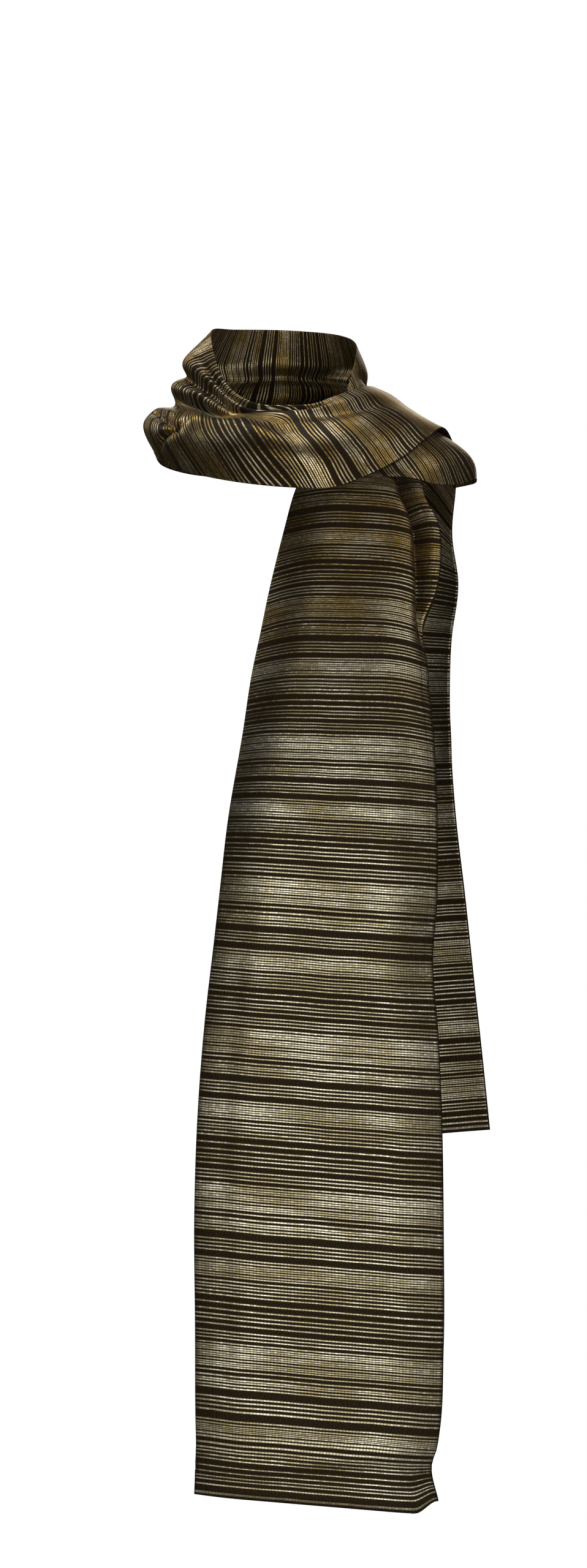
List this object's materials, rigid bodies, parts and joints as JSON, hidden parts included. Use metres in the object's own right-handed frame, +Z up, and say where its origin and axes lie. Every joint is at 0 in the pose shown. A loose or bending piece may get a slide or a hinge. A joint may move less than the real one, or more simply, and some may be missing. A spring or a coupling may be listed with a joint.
{
  "type": "silk shawl",
  "caption": "Long woven shawl folded lengthwise, wound once round the neck, one end down the front and one down the back.",
  "frame": {"origin": "middle of the wearer's neck where it meets the shoulders", "axes": "+Z up along the neck, -Y the wearer's front, +X the side that both hanging ends lie on"},
  "size_m": [0.2649, 0.2401, 0.8701],
  "materials": {
    "striped_cloth": "thin black cloth with narrow gold metallic weft stripes, a soft sheen and glints"
  },
  "bodies": {
    "root": {"front_tail": "striped_cloth", "shoulder_rise": "striped_cloth", "neck_wrap": "striped_cloth", "left_turn": "striped_cloth", "front_drape": "striped_cloth", "drape_underlay": "striped_cloth", "shoulder_fall": "striped_cloth", "back_tail": "striped_cloth"}
  },
  "joints": []
}
